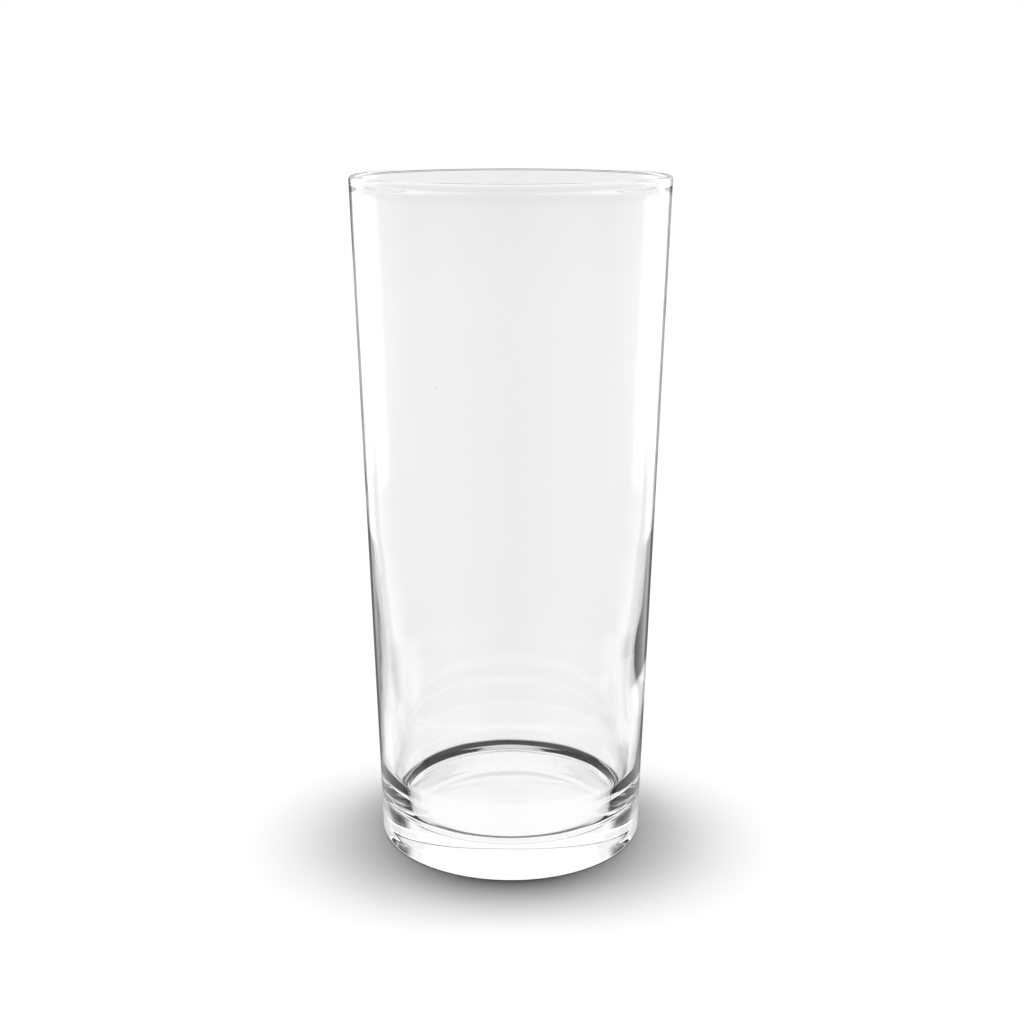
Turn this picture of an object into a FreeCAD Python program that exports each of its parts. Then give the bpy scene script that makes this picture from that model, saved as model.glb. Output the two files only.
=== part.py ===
"""A pint glass: a tall, slightly conical tumbler, pressed and blown from one gob of clear glass.

Row frame: millimetres, +Z up along the axis of revolution, origin at the centre of the resting plane.
The glass is one physical piece, so it is one solid: a half section turned once round Z.
The section runs from the push-up under the base, out along the foot ring, round the heel, up the conical
outside, over the fire-polished rim, down the inside wall and across the thick floor back to the axis.
"""

import FreeCAD, Part
import math
import os

NODE = "glass_body"

# Outside
HEIGHT = 164.8             # resting plane to the top of the rim
RIM_RADIUS = 37.8          # outside of the mouth
BASE_RADIUS = 33.1         # the outer cone carried down to the resting plane
HEEL_RADIUS = 0.5          # rounding between the cone and the foot ring
FOOT_INNER_RADIUS = 24.3   # inner edge of the foot ring, where the push-up starts
PUSH_UP = 0.6              # height of the push-up at the axis

# Rim: a bead a little thicker than the wall below it
RIM_THICKNESS = 1.75
RIM_ROUNDING = 0.8
BEAD_DEPTH = 3.6           # how far below the rim the bead has faded into the wall
BEAD_BLEND = 9.0           # radius of that fade

# Inside wall: thin above, thicker below a gentle shoulder, and thickest just above the base
UPPER_WALL = 1.15
SHOULDER_TOP = 80.0
SHOULDER_WALL = 2.0        # wall thickness at the shoulder's lower end
SHOULDER_BOTTOM = 52.0
SHOULDER_BLEND = 90.0      # radius of the bends at both ends of the shoulder
THICK_WALL = 2.9           # wall thickness where it starts to lean in towards the floor
THICK_TOP = 19.0
THICK_BLEND = 20.0

# Inside corner: the leaning wall meets a slope up from the floor's edge
CORNER_RADIUS = 28.9
CORNER_HEIGHT = 8.6
CORNER_ROUNDING = 4.0

# Inside floor: a shallow dish, then a slope up to the corner
FLOOR_HEIGHT = 6.8         # at the axis
DISH_RADIUS = 22.0         # where the dish ends
DISH_RISE = 0.3            # how much higher the dish is there
SLOPE_RADIUS = 25.0        # where the dish, carried on straight, meets the slope
SLOPE_BLEND = 8.0


def point(radius, height):
    """A point of the half section, which lies in the XZ plane."""
    return FreeCAD.Vector(radius, 0, height)


def cone_radius(height):
    """Outer radius of the glass at a height."""
    return BASE_RADIUS + (RIM_RADIUS - BASE_RADIUS) * height / HEIGHT


def inside(height, wall):
    """The point of the inside wall at a height, for a wall thickness there."""
    return point(cone_radius(height) - wall, height)


def bend(before, corner, after, radius):
    """The arc of a radius that rounds a corner: its first, middle and last points."""
    back = (before - corner).normalize()
    ahead = (after - corner).normalize()
    half_opening = back.getAngle(ahead) / 2
    reach = radius / math.tan(half_opening)
    bisector = (back + ahead).normalize()
    middle = corner + bisector * (radius / math.sin(half_opening) - radius)
    return corner + back * reach, middle, corner + ahead * reach


def rounded_run(start, corners, end):
    """Straight edges from start to end through corners, each corner (point, radius) rounded by an arc."""
    points = [start] + [corner for corner, radius in corners] + [end]
    edges, here = [], start
    for index, (corner, radius) in enumerate(corners):
        first, middle, last = bend(points[index], corner, points[index + 2], radius)
        edges += [Part.LineSegment(here, first).toShape(), Part.Arc(first, middle, last).toShape()]
        here = last
    return edges + [Part.LineSegment(here, end).toShape()]


def shallow_arc(centre_height, edge_radius, edge_height):
    """The spherical dish or dome from the axis to its edge."""
    rise = edge_height - centre_height
    sphere = (edge_radius ** 2 + rise ** 2) / (2 * abs(rise))
    mid_radius = edge_radius / 2
    mid_rise = sphere - math.sqrt(sphere ** 2 - mid_radius ** 2)
    middle = point(mid_radius, centre_height + math.copysign(mid_rise, rise))
    return Part.Arc(point(0, centre_height), middle, point(edge_radius, edge_height)).toShape()


def slope_foot():
    """Where the dish, carried on along its tangent, meets the slope up to the corner."""
    tangent = math.tan(2 * math.atan(DISH_RISE / DISH_RADIUS))
    return point(SLOPE_RADIUS, FLOOR_HEIGHT + DISH_RISE + tangent * (SLOPE_RADIUS - DISH_RADIUS))


def half_section():
    """The closed outline of the glass on one side of its axis."""
    push_up = shallow_arc(PUSH_UP, FOOT_INNER_RADIUS, 0)
    skin = rounded_run(
        point(FOOT_INNER_RADIUS, 0),
        [
            (point(BASE_RADIUS, 0), HEEL_RADIUS),
            (point(RIM_RADIUS, HEIGHT), RIM_ROUNDING),
            (point(RIM_RADIUS - RIM_THICKNESS, HEIGHT), RIM_ROUNDING),
            (inside(HEIGHT - BEAD_DEPTH, UPPER_WALL), BEAD_BLEND),
            (inside(SHOULDER_TOP, UPPER_WALL), SHOULDER_BLEND),
            (inside(SHOULDER_BOTTOM, SHOULDER_WALL), SHOULDER_BLEND),
            (inside(THICK_TOP, THICK_WALL), THICK_BLEND),
            (point(CORNER_RADIUS, CORNER_HEIGHT), CORNER_ROUNDING),
            (slope_foot(), SLOPE_BLEND),
        ],
        point(DISH_RADIUS, FLOOR_HEIGHT + DISH_RISE),
    )
    dish = shallow_arc(FLOOR_HEIGHT, DISH_RADIUS, FLOOR_HEIGHT + DISH_RISE)
    axis = Part.LineSegment(point(0, FLOOR_HEIGHT), point(0, PUSH_UP)).toShape()
    return Part.Wire(Part.__sortEdges__([push_up] + skin + [dish, axis]))


def brimful_ml(glass):
    """What the glass holds to the brim: a cone that ends inside the wall, less the glass itself."""
    low = (PUSH_UP + FLOOR_HEIGHT) / 2
    half_wall = UPPER_WALL / 2
    plug = Part.makeCone(cone_radius(low) - half_wall, RIM_RADIUS - half_wall, HEIGHT - low, point(0, low))
    return max(piece.Volume for piece in plug.cut(glass).Solids) / 1000


def make_glass():
    """The whole glass as one solid of revolution."""
    return Part.Face(half_section()).revolve(FreeCAD.Vector(), FreeCAD.Vector(0, 0, 1), 360)


os.makedirs("parts", exist_ok=True)
glass_body = make_glass()
if glass_body.ShapeType != "Solid":
    glass_body = Part.Solid(glass_body)
glass_body.exportStep(f"parts/{NODE}.step")
print("valid", glass_body.isValid(), "volume ml", round(glass_body.Volume / 1000, 2))
print("brimful ml", round(brimful_ml(glass_body), 1))
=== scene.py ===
"""A clear pint glass on a plain pale floor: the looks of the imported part.

Metres, +Z up, the part's own frame. The camera looks along +Y.
"""

import math

import bmesh
import bpy
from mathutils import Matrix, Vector, noise


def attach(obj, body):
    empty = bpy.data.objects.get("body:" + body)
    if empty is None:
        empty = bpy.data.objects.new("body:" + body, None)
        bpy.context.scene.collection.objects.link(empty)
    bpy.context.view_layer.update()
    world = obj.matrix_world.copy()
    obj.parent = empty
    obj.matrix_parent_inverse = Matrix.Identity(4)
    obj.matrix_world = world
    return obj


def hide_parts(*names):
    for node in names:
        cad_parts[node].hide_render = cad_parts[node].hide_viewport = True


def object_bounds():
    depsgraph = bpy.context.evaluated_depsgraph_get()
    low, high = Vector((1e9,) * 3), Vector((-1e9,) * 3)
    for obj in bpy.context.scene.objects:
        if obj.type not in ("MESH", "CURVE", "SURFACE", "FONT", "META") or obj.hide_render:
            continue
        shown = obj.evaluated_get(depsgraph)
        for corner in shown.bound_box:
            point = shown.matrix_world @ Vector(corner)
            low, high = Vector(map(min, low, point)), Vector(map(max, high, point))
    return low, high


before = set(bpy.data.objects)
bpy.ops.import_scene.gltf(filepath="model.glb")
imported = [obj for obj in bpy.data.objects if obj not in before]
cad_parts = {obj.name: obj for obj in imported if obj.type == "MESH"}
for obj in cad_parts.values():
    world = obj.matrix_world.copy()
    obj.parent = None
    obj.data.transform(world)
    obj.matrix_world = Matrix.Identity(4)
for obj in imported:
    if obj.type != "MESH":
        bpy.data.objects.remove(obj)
CAD_LOW, CAD_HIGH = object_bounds()

MM = 0.001
WHITE = (1, 1, 1, 1)

# The glass, with the part's own driving sizes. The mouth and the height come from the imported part.
HEIGHT = CAD_HIGH.z
RIM_RADIUS = CAD_HIGH.x
TAPER = 4.7 * MM               # how much smaller the base radius is
BASE_RADIUS = RIM_RADIUS - TAPER
HEEL_RADIUS = 0.5 * MM
FOOT_INNER_RADIUS = 24.3 * MM
PUSH_UP = 0.6 * MM

RIM_THICKNESS = 1.75 * MM
RIM_ROUNDING = 0.8 * MM
BEAD_DEPTH = 3.6 * MM
BEAD_BLEND = 9.0 * MM

UPPER_WALL = 1.15 * MM
SHOULDER_TOP = 80.0 * MM
SHOULDER_WALL = 2.0 * MM
SHOULDER_BOTTOM = 52.0 * MM
SHOULDER_BLEND = 90.0 * MM
THICK_WALL = 2.9 * MM
THICK_TOP = 19.0 * MM
THICK_BLEND = 20.0 * MM

CORNER_RADIUS = 28.9 * MM
CORNER_HEIGHT = 8.6 * MM
CORNER_ROUNDING = 4.0 * MM

FLOOR_HEIGHT = 6.8 * MM        # at the middle
DISH_RADIUS = 22.0 * MM
DISH_RISE = 0.3 * MM
SLOPE_RADIUS = 25.0 * MM
SLOPE_BLEND = 8.0 * MM

# Unevenness of the blown inside: a thick gather on the right, a heavier left side, and slow waves all round.
# A height is where each is greatest, a reach or spread how fast it fades up and down or round the glass.
GATHER_DEPTH = 0.55 * MM
GATHER_SPREAD = math.radians(28)
GATHER_HEIGHT = 46 * MM
GATHER_REACH = 8 * MM
HEAVY_SIDE = 0.3 * MM
HEAVY_SPREAD = math.radians(50)
HEAVY_HEIGHT = 38 * MM
HEAVY_REACH = 13 * MM
WAVE_DEPTH = 0.12 * MM
WAVE_LENGTH = 45 * MM
WAVE_HEIGHT = 60 * MM
WAVE_REACH = 22 * MM
CALM_HEIGHT = 12 * MM          # below this the inside is even
CALM_REACH = 10 * MM

# Clear soda-lime glass: ripples of the blown skin, faint smears, and seeds and dust specks
REFRACTIVE_INDEX = 1.52
RIPPLE_CELL = 14 * MM
RIPPLE_DETAIL = 1
RIPPLE_DEPTH = 0.05 * MM
SMEAR_CELL = 18 * MM
SMEAR_DETAIL = 4
SMEAR_START, SMEAR_FULL = 0.5, 0.8     # noise levels at which a smear begins and is whole
SMEAR_ROUGHNESS = 0.012
SPECK_SPACING = 16 * MM
SPECK_SHARE = 0.12             # of the cells have a speck
SPECK_CHOICE = 0.01            # width of the step between cells with and without one
SPECK_RADIUS = 0.22 * MM
SPECK_CORE = 0.6               # share of the radius where a speck is whole
SPECK_ROUGHNESS = 0.4
SPECK_COLOUR = (0.35, 0.35, 0.34, 1)

SEGMENTS = 256                 # round the glass
WALL_STEP = 1.5 * MM           # longest edge up the wall
FLOOR_STEP = 0.8 * MM          # longest edge across the base
ARC_STEPS = 8                  # edges in each small rounding

# The camera, 15 degrees down from level
CAMERA_DISTANCE = 9.644 * RIM_RADIUS
CAMERA_HEIGHT = 4.852 * RIM_RADIUS
CAMERA_TILT = math.radians(15.37)
CAMERA_LENS_MM = 53.65
CAMERA_SENSOR_MM = 36
CAMERA_SHIFT = 0.0013

# The floor and its light
FLOOR_REACH = 30               # metres
FLOOR_PALENESS = 0.9
FLOOR_ROUGHNESS = 0.9
FLOOR_LEVEL = 1.03             # brightness of the open floor, where 1 is white
# Painted contact shade in the floor's colour: how far it reaches, how much it is softened, and its samples
CONTACT_SHADE_REACH = 12 * MM
CONTACT_SHADE_POWER = 0.3
CONTACT_SHADE_SAMPLES = 32
LIGHT_ANGLE = math.radians(11)
LIGHT_TILTS = [math.radians(-6.5), math.radians(0), math.radians(6.5)]
LIGHT_BEHIND = math.radians(3)

BOUNCES = 8                    # of light in the glass

# The studio as the glass shows it, by direction, in degrees. Elevation is up from level, and the angle away is
# from straight behind the glass, to either side. Each table is a row of (place, level) stops, where 1 is white.

# Level with the glass: paper behind, a grey strip beside it, a soft box, and a room that darkens to the front
LEVEL_BAND = [
    (0, 1.0), (3, 0.8), (6, 0.35), (12, 0.25), (22, 0.25), (26, 0.5), (28, 1.5), (32, 2.2), (50, 2.2),
    (58, 1.0), (70, 0.65), (84, 0.62), (92, 0.37), (104, 0.27), (132, 0.24), (150, 0.12), (165, 0.03),
    (180, 0.02),
]

# Below level, the same with a paler soft box
LOW_BAND = [
    (0, 1.0), (3, 0.8), (6, 0.35), (12, 0.25), (22, 0.25), (26, 0.5), (28, 1.2), (32, 1.4), (40, 1.2),
    (50, 0.8), (70, 0.55), (92, 0.35), (132, 0.24), (150, 0.12), (165, 0.03), (180, 0.02),
]

# Lower still, a wide paper with a grey flag before it
LOWEST_BAND = [
    (0, 1.0), (42, 1.0), (48, 0.2), (62, 0.2), (67, 1.0), (85, 1.0), (95, 0.3), (150, 0.3), (168, 0.05),
    (180, 0.02),
]

# What light reflected in the glass sees: a table by angle away at each of these elevations, blended in between.
# White paper below and overhead, the bands round the glass, and above level a dark flag at either side.
STUDIO = [
    (-90, [(0, 1.0), (180, 1.0)]),
    (-44, [(0, 1.0), (180, 1.0)]),
    (-36, LOWEST_BAND),
    (-28.6, LOWEST_BAND),
    (-27.8, [(0, 1.0), (70, 1.0), (80, 0.03), (180, 0.0)]),
    (-24, [
        (0, 1.0), (3, 0.8), (6, 0.35), (12, 0.25), (22, 0.25), (26, 0.5), (30, 0.9), (60, 1.0), (80, 0.5),
        (130, 0.4), (150, 0.2), (165, 0.03), (180, 0.03),
    ]),
    (-20, LOW_BAND),
    (-15, LOW_BAND),
    (-12, LEVEL_BAND),
    (1, LEVEL_BAND),
    (5, [(0, 1.0), (40, 1.0), (60, 0.8), (90, 0.4), (180, 0.1)]),
    (14, [(0, 1.0), (38, 1.0), (44, 0.03), (60, 0.03), (66, 0.5), (100, 0.3), (180, 0.05)]),
    (27, [(0, 1.0), (40, 1.0), (46, 0.03), (60, 0.03), (66, 0.5), (100, 0.3), (180, 0.05)]),
    (33, [(0, 1.0), (70, 1.0), (110, 0.6), (180, 0.05)]),
    (45, [(0, 1.2), (90, 1.0), (180, 0.3)]),
    (90, [(0, 1.2), (180, 1.2)]),
]
STUDIO_PEAK = 2.2              # the highest level in any table

# What light reflected twice or more sees at least, by angle away
REFLECTED_TWICE = 1.5          # more reflections than this
PAPER_BEHIND = [(0, 1.12), (34, 1.12), (42, 0.0), (180, 0.0)]

# What is seen straight through one wall: a table by elevation, and the least level by angle away
BEHIND_ONE_WALL = [
    (-90, 1.0), (-30.5, 1.0), (-29, 0.0), (-22.5, 0.0), (-21, 1.0), (-14, 1.0), (-13.2, 0.0), (-8.6, 0.0),
    (-7.8, 1.0), (-3.8, 0.96), (-3, 0.92), (6, 0.92), (12, 1.0), (90, 1.0),
]
BESIDE_ONE_WALL = [(0, 0.0), (8, 0.0), (13, 0.92), (180, 0.92)]

# What is seen straight through more walls, by elevation
MORE_WALLS = 2.5               # more surfaces crossed than this, where one wall has two
BEHIND = [
    (-90, 1.0), (-72, 1.0), (-66, 0.05), (-50, 0.05), (-45, 1.0), (-36, 1.03), (-26.5, 1.03), (-25.6, 1.0),
    (-7.5, 1.0), (-3.8, 0.96), (-3, 0.92), (6, 0.92), (12, 1.0), (90, 1.0),
]


def cone_radius(height):
    """Outer radius of the glass at a height."""
    return BASE_RADIUS + (RIM_RADIUS - BASE_RADIUS) * height / HEIGHT


def inside(height, wall):
    """Point (radius, height) of the inside wall, for a wall thickness there."""
    return Vector((cone_radius(height) - wall, height))


def straight(start, end, step):
    """Points from start up to, but without, end."""
    count = max(1, math.ceil((end - start).length / step))
    return [start.lerp(end, i / count) for i in range(count)]


def bend(before, corner, after, radius):
    """Points of the arc that rounds a corner, ends included."""
    back = (before - corner).normalized()
    ahead = (after - corner).normalized()
    half_opening = back.angle(ahead) / 2
    reach = radius / math.tan(half_opening)
    centre = corner + (back + ahead).normalized() * (radius / math.sin(half_opening))
    first, last = corner + back * reach - centre, corner + ahead * reach - centre
    turn = first.angle(last)
    steps = max(ARC_STEPS, math.ceil(radius * turn / WALL_STEP))
    points = []
    for i in range(steps + 1):
        share = i / steps
        spoke = first * math.sin((1 - share) * turn) + last * math.sin(share * turn)
        points.append(centre + spoke / math.sin(turn))
    return points


def shallow_dish(centre_height, edge_radius, edge_height):
    """Points of a shallow dish from the axis to its edge, a parabola."""
    count = math.ceil(edge_radius / FLOOR_STEP)
    rise = edge_height - centre_height
    return [
        Vector((edge_radius * i / count, centre_height + rise * (i / count) ** 2))
        for i in range(count + 1)
    ]


def section():
    """The half section, from the axis under the base round the outside and back to the axis on the floor."""
    dish = shallow_dish(FLOOR_HEIGHT, DISH_RADIUS, FLOOR_HEIGHT + DISH_RISE)
    tangent = 2 * DISH_RISE / DISH_RADIUS      # of the dish at its edge
    slope_foot = Vector((SLOPE_RADIUS, dish[-1].y + tangent * (SLOPE_RADIUS - DISH_RADIUS)))
    corners = [
        (Vector((FOOT_INNER_RADIUS, 0)), None),
        (Vector((BASE_RADIUS, 0)), HEEL_RADIUS),
        (Vector((RIM_RADIUS, HEIGHT)), RIM_ROUNDING),
        (Vector((RIM_RADIUS - RIM_THICKNESS, HEIGHT)), RIM_ROUNDING),
        (inside(HEIGHT - BEAD_DEPTH, UPPER_WALL), BEAD_BLEND),
        (inside(SHOULDER_TOP, UPPER_WALL), SHOULDER_BLEND),
        (inside(SHOULDER_BOTTOM, SHOULDER_WALL), SHOULDER_BLEND),
        (inside(THICK_TOP, THICK_WALL), THICK_BLEND),
        (Vector((CORNER_RADIUS, CORNER_HEIGHT)), CORNER_ROUNDING),
        (slope_foot, SLOPE_BLEND),
        (dish[-1], None),
    ]
    points = shallow_dish(PUSH_UP, FOOT_INNER_RADIUS, 0)
    for (before, _), (corner, radius), (after, _) in zip(corners, corners[1:], corners[2:]):
        arc = bend(before, corner, after, radius)
        points += straight(points[-1], arc[0], WALL_STEP)[1:] + arc
    return points + straight(points[-1], dish[-1], FLOOR_STEP)[1:] + dish[::-1]


def swell(distance, width):
    """A smooth bump: 1 at no distance, fading over the width."""
    return math.exp(-((distance / width) ** 2) / 2)


def blown_wall(angle, height):
    """How much thicker than the section the blown wall is there."""
    right = math.remainder(angle, math.tau)
    left = math.remainder(angle - math.pi, math.tau)
    gather = GATHER_DEPTH * swell(right, GATHER_SPREAD) * swell(height - GATHER_HEIGHT, GATHER_REACH)
    heavy = HEAVY_SIDE * swell(left, HEAVY_SPREAD) * swell(height - HEAVY_HEIGHT, HEAVY_REACH)
    place = Vector((math.cos(angle), math.sin(angle), height / WAVE_LENGTH))
    wave = WAVE_DEPTH * noise.noise(place) * swell(height - WAVE_HEIGHT, WAVE_REACH)
    risen = min(1, max(0, (height - CALM_HEIGHT) / CALM_REACH))
    eased = risen * risen * (3 - 2 * risen)
    return (gather + heavy + wave) * eased


def make_glass():
    """The glass as one closed skin, turned from its section, with the blown inside a little uneven."""
    outline = section()
    mesh = bmesh.new()
    rings = []
    for radius, height in outline[1:-1]:
        inner = radius < cone_radius(height) - UPPER_WALL / 2
        blown = inner and CORNER_HEIGHT < height < HEIGHT - BEAD_DEPTH
        ring = []
        for i in range(SEGMENTS):
            angle = math.tau * i / SEGMENTS
            here = radius - blown_wall(angle, height) if blown else radius
            ring.append(mesh.verts.new((here * math.cos(angle), here * math.sin(angle), height)))
        rings.append(ring)
    under = mesh.verts.new((0, 0, outline[0].y))
    floor = mesh.verts.new((0, 0, outline[-1].y))
    for i in range(SEGMENTS):
        j = (i + 1) % SEGMENTS
        mesh.faces.new((under, rings[0][j], rings[0][i]))
        mesh.faces.new((floor, rings[-1][i], rings[-1][j]))
        for low, high in zip(rings, rings[1:]):
            mesh.faces.new((low[i], low[j], high[j], high[i]))
    for face in mesh.faces:
        face.smooth = True
    data = bpy.data.meshes.new("pint_glass")
    mesh.to_mesh(data)
    mesh.free()
    glass = bpy.data.objects.new("pint_glass", data)
    bpy.context.scene.collection.objects.link(glass)
    return glass


def glass_material():
    """Clear glass, faintly rippled and smeared, with a few seeds and specks of dust."""
    material = bpy.data.materials.new("clear_glass")
    material.use_nodes = True
    nodes, links = material.node_tree.nodes, material.node_tree.links
    shader = nodes["Principled BSDF"]
    shader.inputs["Transmission Weight"].default_value = 1
    shader.inputs["IOR"].default_value = REFRACTIVE_INDEX
    place = nodes.new("ShaderNodeTexCoord").outputs["Object"]

    def fade(value, start, end, first, last):
        """The value's range from start to end, carried to first to last and held there beyond."""
        node = nodes.new("ShaderNodeMapRange")
        node.inputs["From Min"].default_value = start
        node.inputs["From Max"].default_value = end
        node.inputs["To Min"].default_value = first
        node.inputs["To Max"].default_value = last
        links.new(value, node.inputs["Value"])
        return node.outputs[0]

    def cloud(cell, detail):
        """Soft noise with features about a cell across."""
        node = nodes.new("ShaderNodeTexNoise")
        node.inputs["Scale"].default_value = 1 / cell
        node.inputs["Detail"].default_value = detail
        links.new(place, node.inputs["Vector"])
        return node.outputs["Fac"]

    def combine(operation, first, second):
        """Two values put together by a Math node."""
        node = nodes.new("ShaderNodeMath")
        node.operation = operation
        links.new(first, node.inputs[0])
        links.new(second, node.inputs[1])
        return node.outputs[0]

    specks = nodes.new("ShaderNodeTexVoronoi")
    specks.inputs["Scale"].default_value = 1 / SPECK_SPACING
    links.new(place, specks.inputs["Vector"])
    chosen = nodes.new("ShaderNodeSeparateColor")
    links.new(specks.outputs["Color"], chosen.inputs[0])
    size = SPECK_RADIUS / SPECK_SPACING
    near = fade(specks.outputs["Distance"], size * SPECK_CORE, size, 1, 0)
    has_one = fade(chosen.outputs[0], 1 - SPECK_SHARE, 1 - SPECK_SHARE + SPECK_CHOICE, 0, 1)
    speck = combine("MULTIPLY", near, has_one)

    tint = nodes.new("ShaderNodeMix")
    tint.data_type = "RGBA"
    tint.inputs["A"].default_value = WHITE
    tint.inputs["B"].default_value = SPECK_COLOUR
    links.new(speck, tint.inputs["Factor"])
    links.new(tint.outputs["Result"], shader.inputs["Base Color"])

    smear = fade(cloud(SMEAR_CELL, SMEAR_DETAIL), SMEAR_START, SMEAR_FULL, 0, SMEAR_ROUGHNESS)
    rough_speck = fade(speck, 0, 1, 0, SPECK_ROUGHNESS)
    links.new(combine("ADD", smear, rough_speck), shader.inputs["Roughness"])

    bump = nodes.new("ShaderNodeBump")
    bump.inputs["Strength"].default_value = 1
    bump.inputs["Distance"].default_value = RIPPLE_DEPTH
    links.new(cloud(RIPPLE_CELL, RIPPLE_DETAIL), bump.inputs["Height"])
    links.new(bump.outputs[0], shader.inputs["Normal"])
    return material


def floor_material():
    """Plain pale paper, with painted contact shade: ambient occlusion darkens its colour close to the glass."""
    material = bpy.data.materials.new("pale_floor")
    material.use_nodes = True
    nodes, links = material.node_tree.nodes, material.node_tree.links
    shader = nodes["Principled BSDF"]
    shader.inputs["Roughness"].default_value = FLOOR_ROUGHNESS
    shader.inputs["Specular IOR Level"].default_value = 0
    # Painted shade: ambient occlusion from the glass, softened, darkens the paper's base colour near the glass
    painted_contact_shade = nodes.new("ShaderNodeAmbientOcclusion")
    painted_contact_shade.inputs["Distance"].default_value = CONTACT_SHADE_REACH
    painted_contact_shade.samples = CONTACT_SHADE_SAMPLES
    soften = nodes.new("ShaderNodeMath")
    soften.operation = "POWER"
    soften.inputs[1].default_value = CONTACT_SHADE_POWER
    # The paper's colour with the painted contact shade in it
    paper = nodes.new("ShaderNodeMath")
    paper.operation = "MULTIPLY"
    paper.inputs[1].default_value = FLOOR_PALENESS
    links.new(painted_contact_shade.outputs["AO"], soften.inputs[0])
    links.new(soften.outputs[0], paper.inputs[0])
    links.new(paper.outputs[0], shader.inputs["Base Color"])
    return material


def make_floor():
    """The floor. The camera sees it and the glass doesn't, so that the glass shows the studio round it."""
    mesh = bpy.data.meshes.new("floor")
    corners = [(-1, -1), (1, -1), (1, 1), (-1, 1)]
    mesh.from_pydata([(x * FLOOR_REACH, y * FLOOR_REACH, 0) for x, y in corners], [], [(0, 1, 2, 3)])
    floor = bpy.data.objects.new("floor", mesh)
    bpy.context.scene.collection.objects.link(floor)
    mesh.materials.append(floor_material())
    floor.visible_transmission = False
    floor.visible_glossy = False


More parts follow.
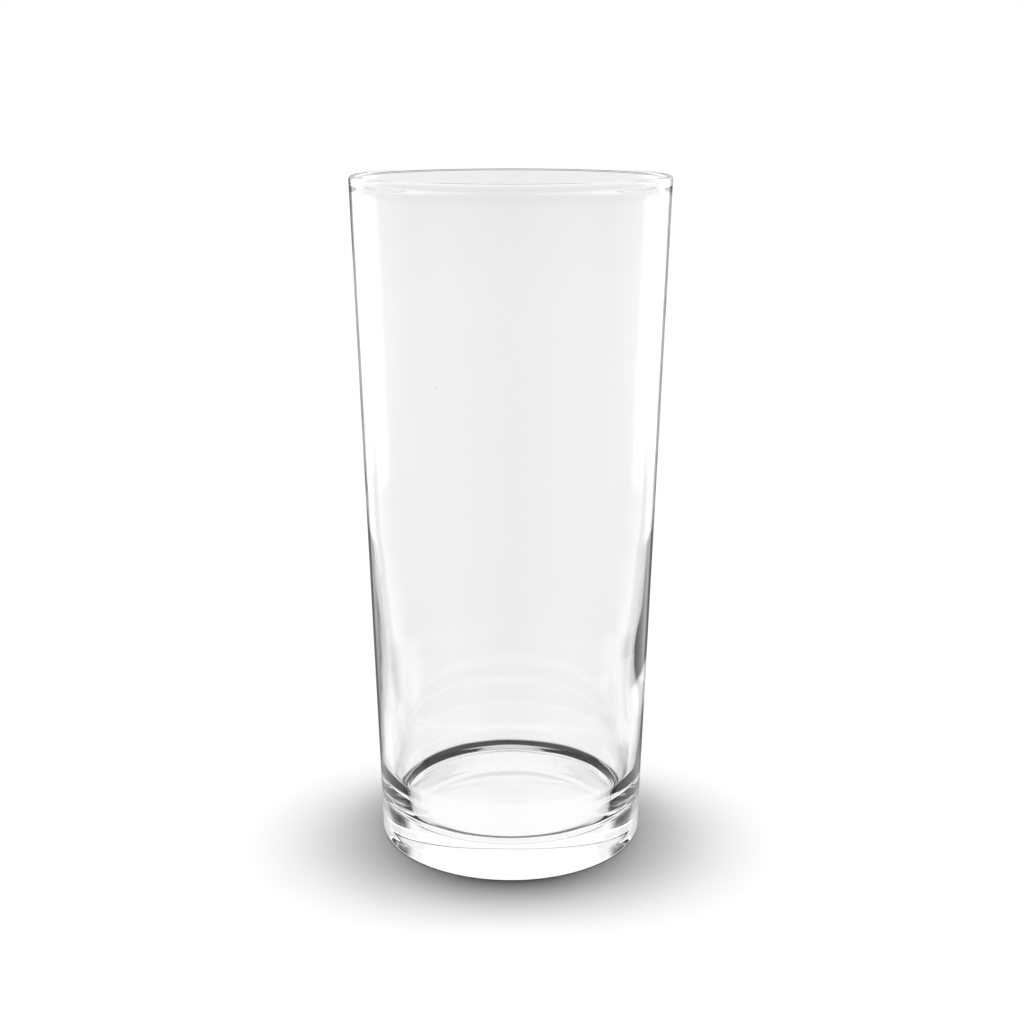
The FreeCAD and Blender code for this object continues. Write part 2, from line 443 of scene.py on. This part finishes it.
def make_world():
    """The studio round the glass, by direction. The camera sees it white, and it doesn't light the floor."""
    world = bpy.data.worlds.new("studio")
    bpy.context.scene.world = world
    world.use_nodes = True
    nodes, links = world.node_tree.nodes, world.node_tree.links
    nodes.clear()

    def wire(value, socket):
        """A number or another node's output, put into a socket."""
        if isinstance(value, (int, float)):
            socket.default_value = value
        else:
            links.new(value, socket)

    def maths(operation, *inputs):
        """The result of a Math node."""
        node = nodes.new("ShaderNodeMath")
        node.operation = operation
        for value, socket in zip(inputs, node.inputs):
            wire(value, socket)
        return node.outputs[0]

    def ramp(position, stops, first, last):
        """The level at a position, from a table whose places lie between first and last."""
        node = nodes.new("ShaderNodeValToRGB")
        elements = node.color_ramp.elements
        while len(elements) < len(stops):
            elements.new(0.5)
        for element, (place, level) in zip(elements, stops):
            element.position = (place - first) / (last - first)
            element.color = [level / STUDIO_PEAK] * 3 + [1]
        share = maths("DIVIDE", maths("SUBTRACT", position, first), last - first)
        links.new(share, node.inputs[0])
        return maths("MULTIPLY", node.outputs[0], STUDIO_PEAK)

    def mix(share, start, end):
        """A blend of two values."""
        node = nodes.new("ShaderNodeMix")
        node.data_type = "FLOAT"
        wire(share, node.inputs["Factor"])
        wire(start, node.inputs["A"])
        wire(end, node.inputs["B"])
        return node.outputs[0]

    split = nodes.new("ShaderNodeSeparateXYZ")
    links.new(nodes.new("ShaderNodeTexCoord").outputs["Generated"], split.inputs[0])
    east, north, up = split.outputs
    away = maths("DEGREES", maths("ARCTAN2", maths("ABSOLUTE", east), north))
    elevation = maths("DEGREES", maths("ARCSINE", up))

    def by_angle_away(stops):
        return ramp(away, stops, 0, 180)

    def by_elevation(stops):
        return ramp(elevation, stops, -90, 90)

    around = by_angle_away(STUDIO[0][1])
    for (below, _), (above, stops) in zip(STUDIO, STUDIO[1:]):
        share = nodes.new("ShaderNodeMapRange")
        share.inputs["From Min"].default_value = below
        share.inputs["From Max"].default_value = above
        links.new(elevation, share.inputs["Value"])
        around = mix(share.outputs[0], around, by_angle_away(stops))

    path = nodes.new("ShaderNodeLightPath")
    reflected_twice = maths("GREATER_THAN", path.outputs["Glossy Depth"], REFLECTED_TWICE)
    around = maths("MAXIMUM", around, maths("MULTIPLY", reflected_twice, by_angle_away(PAPER_BEHIND)))

    one_wall = maths("MAXIMUM", by_elevation(BEHIND_ONE_WALL), by_angle_away(BESIDE_ONE_WALL))
    more_walls = maths("GREATER_THAN", path.outputs["Transmission Depth"], MORE_WALLS)
    through = mix(more_walls, one_wall, by_elevation(BEHIND))

    reflected = maths("MINIMUM", path.outputs["Glossy Depth"], 1)
    seen = maths("MAXIMUM", mix(reflected, through, around), path.outputs["Is Camera Ray"])
    off_the_floor = maths("SUBTRACT", 1, path.outputs["Is Diffuse Ray"])
    background = nodes.new("ShaderNodeBackground")
    background.inputs["Color"].default_value = WHITE
    links.new(maths("MULTIPLY", seen, off_the_floor), background.inputs["Strength"])
    output = nodes.new("ShaderNodeOutputWorld")
    links.new(background.outputs[0], output.inputs["Surface"])


def make_lights():
    """Broad soft lights side by side overhead, a little behind the glass. Only the floor shows them."""
    for tilt in LIGHT_TILTS:
        light = bpy.data.lights.new("overhead", "SUN")
        light.angle = LIGHT_ANGLE
        light.energy = FLOOR_LEVEL * math.pi / FLOOR_PALENESS / len(LIGHT_TILTS)
        lamp = bpy.data.objects.new("overhead", light)
        lamp.rotation_euler = (-LIGHT_BEHIND, tilt, 0)
        lamp.visible_transmission = False
        lamp.visible_glossy = False
        bpy.context.scene.collection.objects.link(lamp)


def make_camera():
    """The camera in front of the glass, looking down at it."""
    data = bpy.data.cameras.new("camera")
    data.lens = CAMERA_LENS_MM
    data.sensor_width = CAMERA_SENSOR_MM
    data.shift_x = CAMERA_SHIFT
    camera = bpy.data.objects.new("camera", data)
    camera.location = (0, -CAMERA_DISTANCE, CAMERA_HEIGHT)
    camera.rotation_euler = (math.pi / 2 - CAMERA_TILT, 0, 0)
    bpy.context.scene.collection.objects.link(camera)
    bpy.context.scene.camera = camera


def set_light_paths():
    """Plain display of colours, no caustics, and enough bounces for the glass."""
    bpy.context.scene.view_settings.view_transform = "Standard"
    cycles = bpy.context.scene.cycles
    cycles.caustics_refractive = False
    cycles.caustics_reflective = False
    cycles.max_bounces = BOUNCES
    cycles.glossy_bounces = BOUNCES
    cycles.transmission_bounces = BOUNCES


make_camera()
make_floor()
make_world()
make_lights()
set_light_paths()

glass = make_glass()
glass.data.materials.append(glass_material())
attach(glass, "root")
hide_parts("glass_body")
